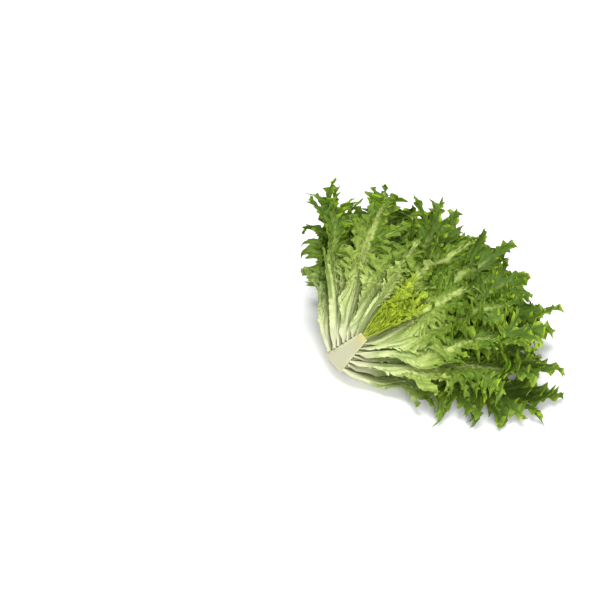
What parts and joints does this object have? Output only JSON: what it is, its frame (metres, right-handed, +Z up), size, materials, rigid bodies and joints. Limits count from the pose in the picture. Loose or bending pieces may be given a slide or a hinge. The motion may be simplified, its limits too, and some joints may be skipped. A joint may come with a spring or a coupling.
{
  "type": "green leaf lettuce half",
  "caption": "Half of a frilled green leaf lettuce: a halved cream core, long lobed leaves fanned out from it, and a small frilled heart, lying on its back.",
  "frame": {"origin": "on the table, below the middle of the half's bounding box", "axes": "+Z up from the table, +Y the way the head is longest, +X to the right as seen from the cut face's side; the cut face looks up and towards -Y"},
  "size_m": [0.2721, 0.2845, 0.1677],
  "materials": {
    "core_cream": "satin",
    "heart_lime": "satin",
    "leaf_green": "satin"
  },
  "bodies": {
    "root": {"core": "core_cream", "heart": "heart_lime", "leaf_01": "leaf_green", "leaf_02": "leaf_green", "leaf_03": "leaf_green", "leaf_04": "leaf_green", "leaf_05": "leaf_green", "leaf_06": "leaf_green", "leaf_07": "leaf_green", "leaf_08": "leaf_green", "leaf_09": "leaf_green", "leaf_10": "leaf_green", "leaf_11": "leaf_green", "leaf_12": "leaf_green", "leaf_13": "leaf_green", "leaf_14": "leaf_green", "leaf_15": "leaf_green", "leaf_16": "leaf_green", "leaf_17": "leaf_green", "leaf_18": "leaf_green", "leaf_19": "leaf_green", "leaf_20": "leaf_green", "leaf_21": "leaf_green", "leaf_22": "leaf_green", "leaf_23": "leaf_green", "leaf_24": "leaf_green", "leaf_25": "leaf_green"}
  },
  "joints": []
}
